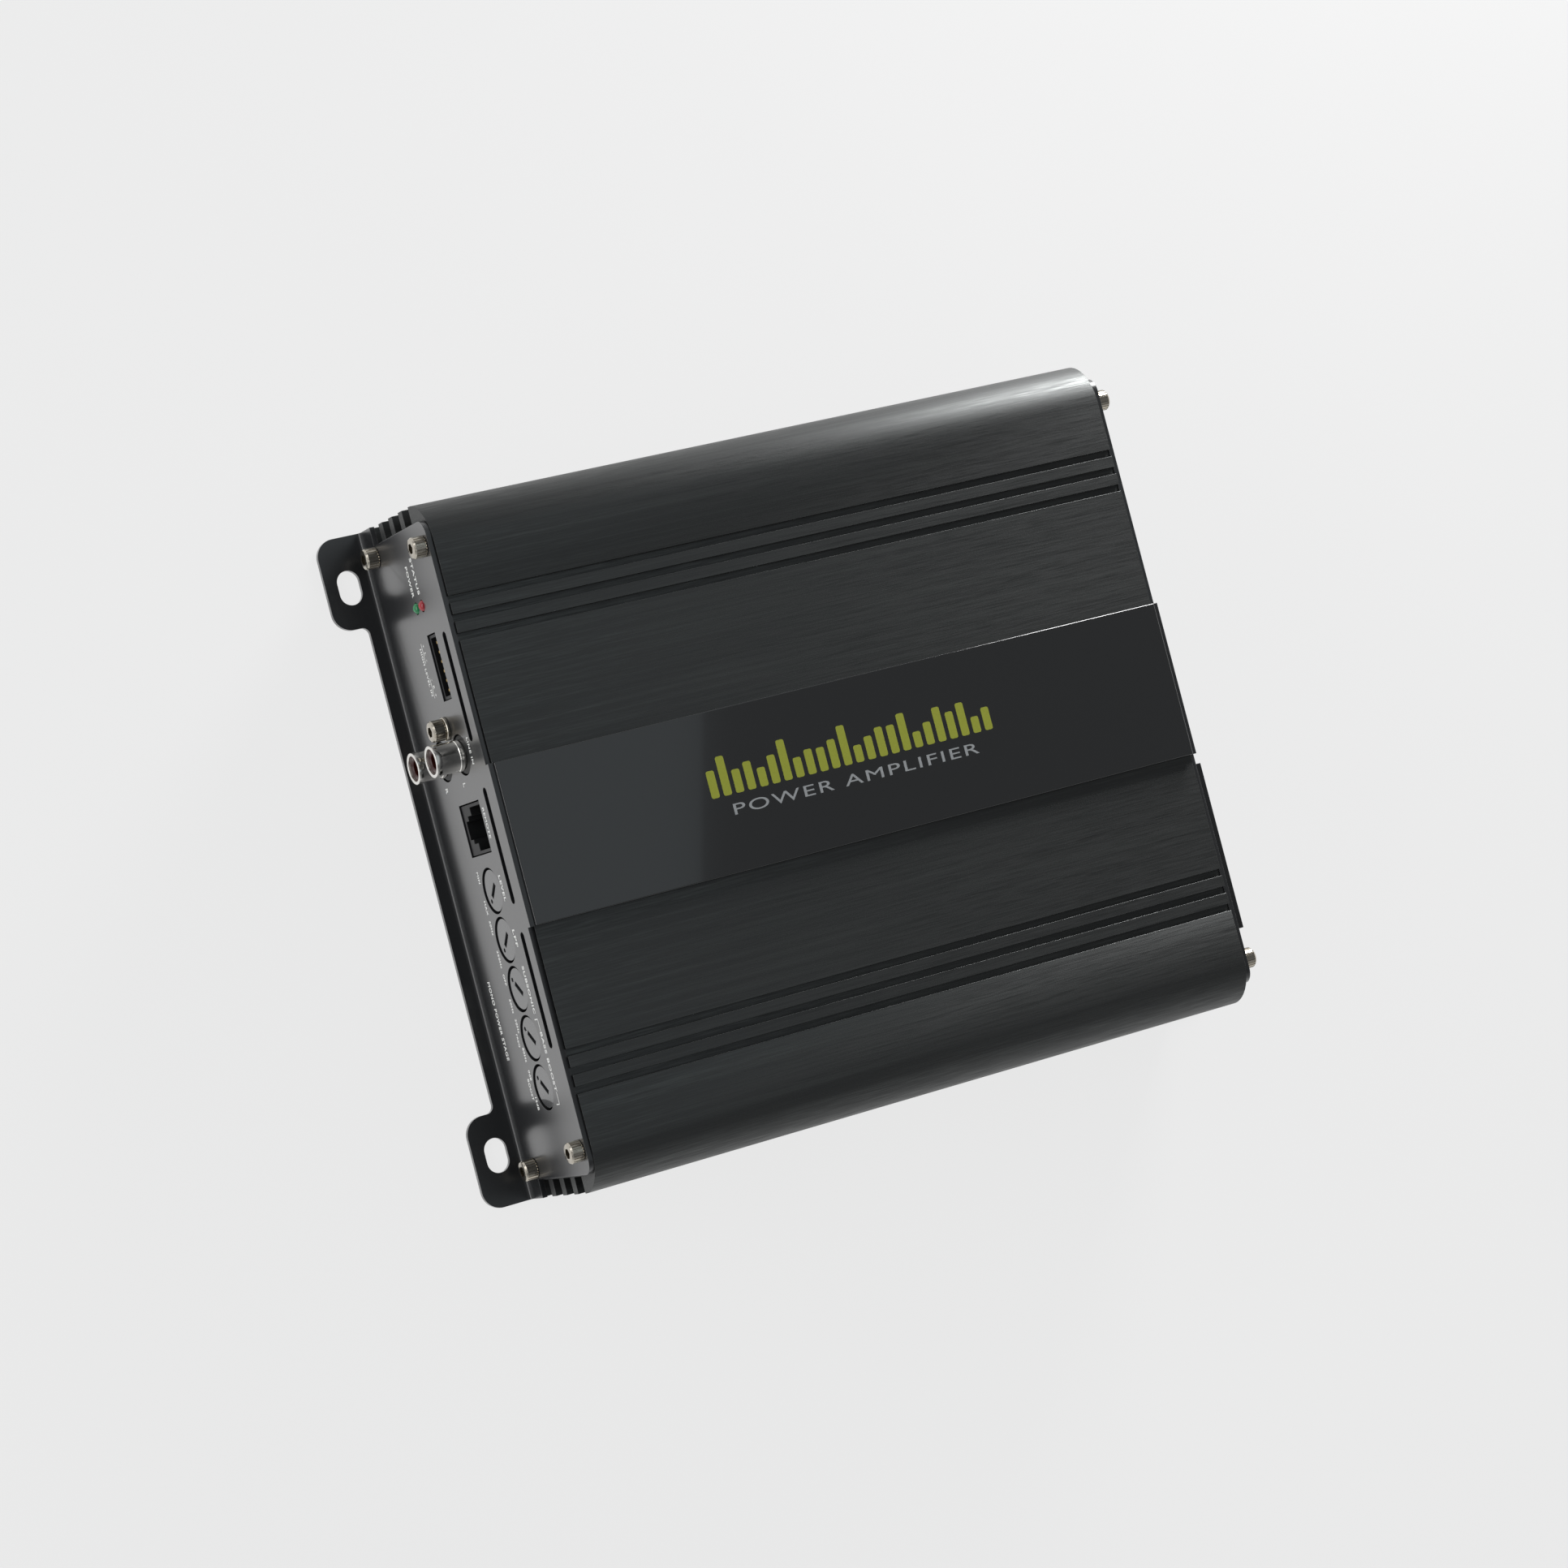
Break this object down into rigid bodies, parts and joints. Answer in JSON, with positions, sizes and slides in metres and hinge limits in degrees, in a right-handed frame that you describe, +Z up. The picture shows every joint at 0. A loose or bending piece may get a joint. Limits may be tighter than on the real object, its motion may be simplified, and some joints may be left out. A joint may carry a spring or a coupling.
{
  "type": "car audio amplifier",
  "caption": "Flat black car amplifier: finned extruded case with a glossy centre plate, bent end panels with slotted ears, signal and power connectors, rotary controls and blade fuses.",
  "frame": {"origin": "bottom centre of the whole part, on the plane that the feet and the flanges rest on", "axes": "+X across the case towards the controls' end of the panel, +Y along the extrusion towards the power terminals, +Z up"},
  "size_m": [0.18, 0.225, 0.0511],
  "materials": {
    "anodised_aluminium": "brushed black anodised",
    "gloss_trim": "polished",
    "zinc_sheet": "zinc plated",
    "gloss_paint": "smooth gloss paint",
    "nickel_steel": "nickel plated",
    "board_laminate": "solder mask",
    "black_nylon": "moulded",
    "brass": "turned",
    "ferrite": "coated ferrite",
    "copper_wire": "enamelled",
    "capacitor_sleeve": "shrink sleeve",
    "device_epoxy": "moulded epoxy",
    "thermal_pad": "soft sheet",
    "bright_nickel": "nickel plated",
    "maroon_insert": "moulded",
    "contact_brass": "plated",
    "green_lens": "clear tinted",
    "red_lens": "clear tinted",
    "pot_body": "moulded",
    "grey_control": "moulded",
    "fuse_plastic": "clear tinted"
  },
  "bodies": {
    "case": {"heatsink": "anodised_aluminium", "centre_trim_plate": "gloss_trim", "bottom_cover": "zinc_sheet", "front_panel": "gloss_paint", "rear_panel": "gloss_paint", "panel_screws": "nickel_steel", "jack_screw": "nickel_steel", "jack_screw_collar": "nickel_steel", "main_board": "board_laminate", "input_board": "board_laminate", "board_link": "black_nylon", "board_standoffs": "brass", "board_screws": "nickel_steel", "supply_toroid_core": "ferrite", "supply_toroid_winding": "copper_wire", "output_choke_core": "ferrite", "output_choke_winding": "copper_wire", "input_capacitors": "capacitor_sleeve", "rail_capacitors": "capacitor_sleeve", "supply_transistors": "device_epoxy", "output_transistors": "device_epoxy", "thermal_pads": "thermal_pad", "clamp_bar_left": "zinc_sheet", "clamp_bar_right": "zinc_sheet", "clamp_screws": "nickel_steel", "rca_housing": "black_nylon", "rca_shell_upper": "bright_nickel", "rca_shell_lower": "bright_nickel", "rca_insert_upper": "maroon_insert", "rca_insert_lower": "maroon_insert", "rca_contacts": "contact_brass", "speaker_input_header": "black_nylon", "header_pins": "contact_brass", "remote_jack": "black_nylon", "remote_jack_contacts": "contact_brass", "green_led": "green_lens", "red_led": "red_lens", "pot_body_1": "pot_body", "pot_body_2": "pot_body", "pot_body_3": "pot_body", "pot_body_4": "pot_body", "pot_body_5": "pot_body", "power_terminal_housing": "black_nylon", "power_terminal_sleeves": "bright_nickel", "speaker_terminal_housing": "black_nylon", "speaker_terminal_sleeves": "bright_nickel", "terminal_set_screws": "nickel_steel", "fuse_holder": "black_nylon", "fuse_contacts": "contact_brass"},
    "control_1": {"control_disc_1": "grey_control"},
    "control_2": {"control_disc_2": "grey_control"},
    "control_3": {"control_disc_3": "grey_control"},
    "control_4": {"control_disc_4": "grey_control"},
    "control_5": {"control_disc_5": "grey_control"},
    "fuse_1": {"fuse_1": "fuse_plastic"},
    "fuse_2": {"fuse_2": "fuse_plastic"},
    "fuse_3": {"fuse_3": "fuse_plastic"}
  },
  "joints": [
    {"name": "control_1_turn", "type": "hinge", "parent": "case", "child": "control_1", "pos_m": [0.00975, -0.0976, 0.0304], "axis": [0, 1, 0], "range_deg": [-280, 0]},
    {"name": "control_2_turn", "type": "hinge", "parent": "case", "child": "control_2", "pos_m": [0.02268, -0.0976, 0.0304], "axis": [0, 1, 0], "range_deg": [-280, 0]},
    {"name": "control_3_turn", "type": "hinge", "parent": "case", "child": "control_3", "pos_m": [0.03561, -0.0976, 0.0304], "axis": [0, 1, 0], "range_deg": [0, 280]},
    {"name": "control_4_turn", "type": "hinge", "parent": "case", "child": "control_4", "pos_m": [0.04854, -0.0976, 0.0304], "axis": [0, 1, 0], "range_deg": [0, 280]},
    {"name": "control_5_turn", "type": "hinge", "parent": "case", "child": "control_5", "pos_m": [0.06147, -0.0976, 0.0304], "axis": [0, 1, 0], "range_deg": [0, 280]},
    {"name": "fuse_1_pull", "type": "slide", "parent": "case", "child": "fuse_1", "axis": [0, 1, 0], "range_m": [0, 0.008]},
    {"name": "fuse_2_pull", "type": "slide", "parent": "case", "child": "fuse_2", "axis": [0, 1, 0], "range_m": [0, 0.008]},
    {"name": "fuse_3_pull", "type": "slide", "parent": "case", "child": "fuse_3", "axis": [0, 1, 0], "range_m": [0, 0.008]}
  ]
}
